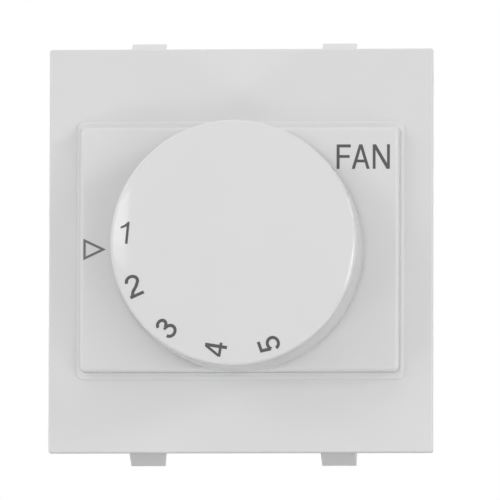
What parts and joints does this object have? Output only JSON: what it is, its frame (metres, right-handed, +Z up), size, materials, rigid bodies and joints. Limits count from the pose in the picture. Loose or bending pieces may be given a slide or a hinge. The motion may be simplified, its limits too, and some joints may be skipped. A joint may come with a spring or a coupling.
{
  "type": "fan speed control switch",
  "caption": "Square white wall-switch module with a large round fan speed dial on a raised panel, a stepped rotary switch inside and wire terminals at the back",
  "frame": {"origin": "on the dial's turning axis, in the plane of the front faces of the four fixing lugs", "axes": "+X to the right and +Z up as the dial is looked at, +Y into the wall, so the visible face looks along -Y"},
  "size_m": [0.045, 0.0478, 0.0496],
  "materials": {
    "plate_plastic": "white moulded polycarbonate, satin gloss",
    "panel_plastic": "white moulded polycarbonate, satin gloss",
    "knob_plastic": "white moulded plastic, soft gloss",
    "ink": "dark grey printing ink",
    "housing_plastic": "light grey moulded, fine spark texture",
    "switch_plastic": "black phenolic moulding",
    "insulating_plate": "brown paper-phenolic laminate",
    "board_laminate": "tan paper-phenolic circuit board",
    "contact_brass": "bright stamped brass",
    "terminal_brass": "drawn and sawn brass",
    "spring_bronze": "phosphor bronze strip",
    "spring_steel": "blued spring steel",
    "screw_steel": "bright zinc-plated steel",
    "shaft_steel": "turned steel",
    "rotor_nylon": "natural nylon",
    "capacitor_case": "yellow moulded case",
    "resistor_ceramic": "pale green lacquered ceramic"
  },
  "bodies": {
    "module": {"front_plate": "plate_plastic", "dial_panel": "panel_plastic", "housing": "housing_plastic", "switch_body": "switch_plastic", "switch_cover": "insulating_plate", "detent_spring": "spring_steel", "speed_contact_1": "contact_brass", "speed_contact_2": "contact_brass", "speed_contact_3": "contact_brass", "speed_contact_4": "contact_brass", "speed_contact_5": "contact_brass", "common_contact": "contact_brass", "switch_screws": "screw_steel", "circuit_board": "board_laminate", "capacitor_1": "capacitor_case", "capacitor_2": "capacitor_case", "resistor_1": "resistor_ceramic", "resistor_2": "resistor_ceramic", "resistor_3": "resistor_ceramic", "resistor_4": "resistor_ceramic", "line_terminal": "terminal_brass", "load_terminal": "terminal_brass", "terminal_screws": "screw_steel"},
    "dial": {"knob": "knob_plastic", "spindle": "shaft_steel", "retaining_clip": "spring_steel", "rotor": "rotor_nylon", "wiper_contact": "spring_bronze"}
  },
  "joints": [
    {"name": "knob_turn", "type": "hinge", "parent": "module", "child": "dial", "pos_m": [0, 0, 0], "axis": [0, 1, 0], "range_deg": [-28.7, 114.8], "deforming": ["detent_spring"]}
  ]
}
